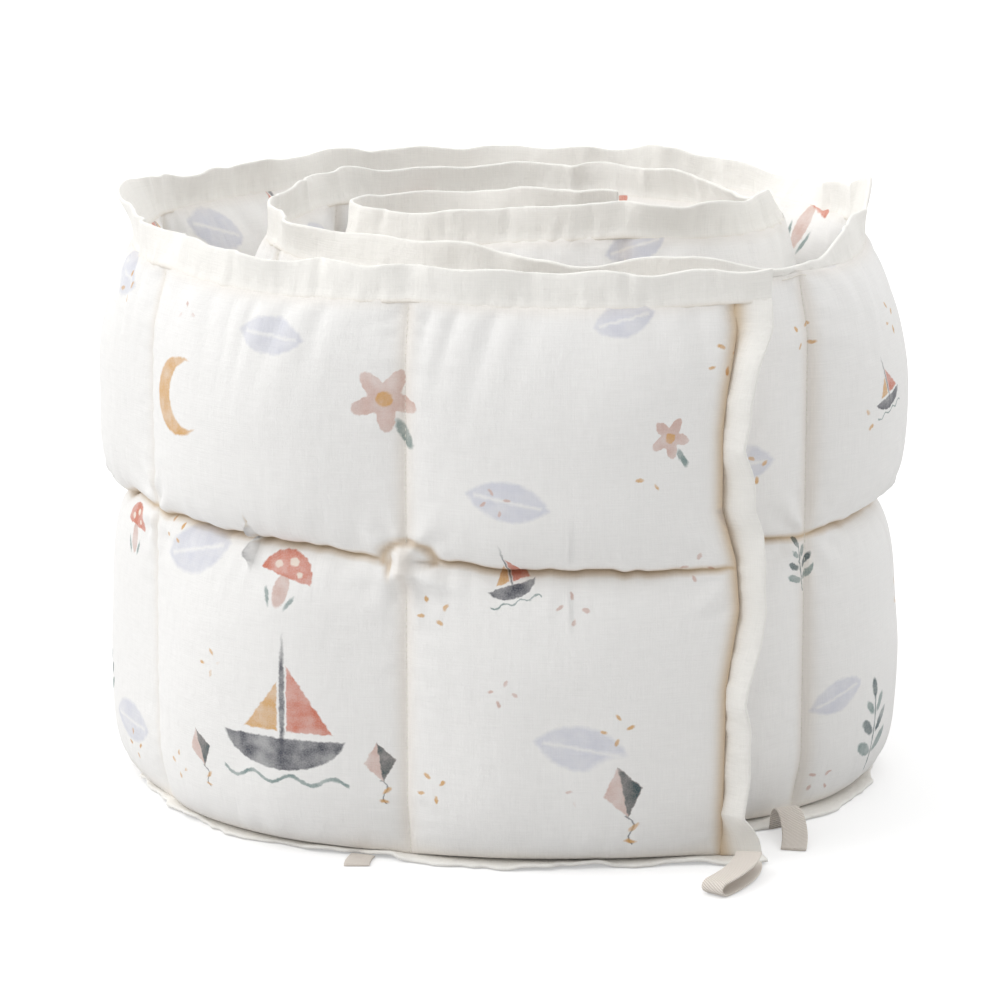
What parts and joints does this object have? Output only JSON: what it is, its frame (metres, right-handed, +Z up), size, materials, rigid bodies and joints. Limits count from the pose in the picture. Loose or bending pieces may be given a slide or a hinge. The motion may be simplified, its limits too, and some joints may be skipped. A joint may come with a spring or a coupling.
{
  "type": "rolled crib bumper",
  "caption": "Padded, quilted crib bumper rolled into a loose spiral and standing on its long edge, with a plain sewn band round its edges and short cloth tapes at its foot.",
  "frame": {"origin": "on the floor, under the middle of the whole part's box", "axes": "+Z up; the strip's free end and the side seen in the picture face -Y; +X to the right of that view"},
  "size_m": [0.4211, 0.4709, 0.3018],
  "materials": {
    "printed_cloth": "matt fine cotton muslin, quilted and printed with small scattered motifs",
    "band_cloth": "plain ivory cotton muslin, folded and topstitched",
    "twill_tape": "cream cotton twill tape with a fine diagonal rib"
  },
  "bodies": {
    "root": {"quilt": "printed_cloth", "top_band": "band_cloth", "bottom_band": "band_cloth", "end_band_outer": "band_cloth", "end_band_inner": "band_cloth", "tie_front": "twill_tape", "tie_right": "twill_tape", "tie_left": "twill_tape"}
  },
  "joints": []
}
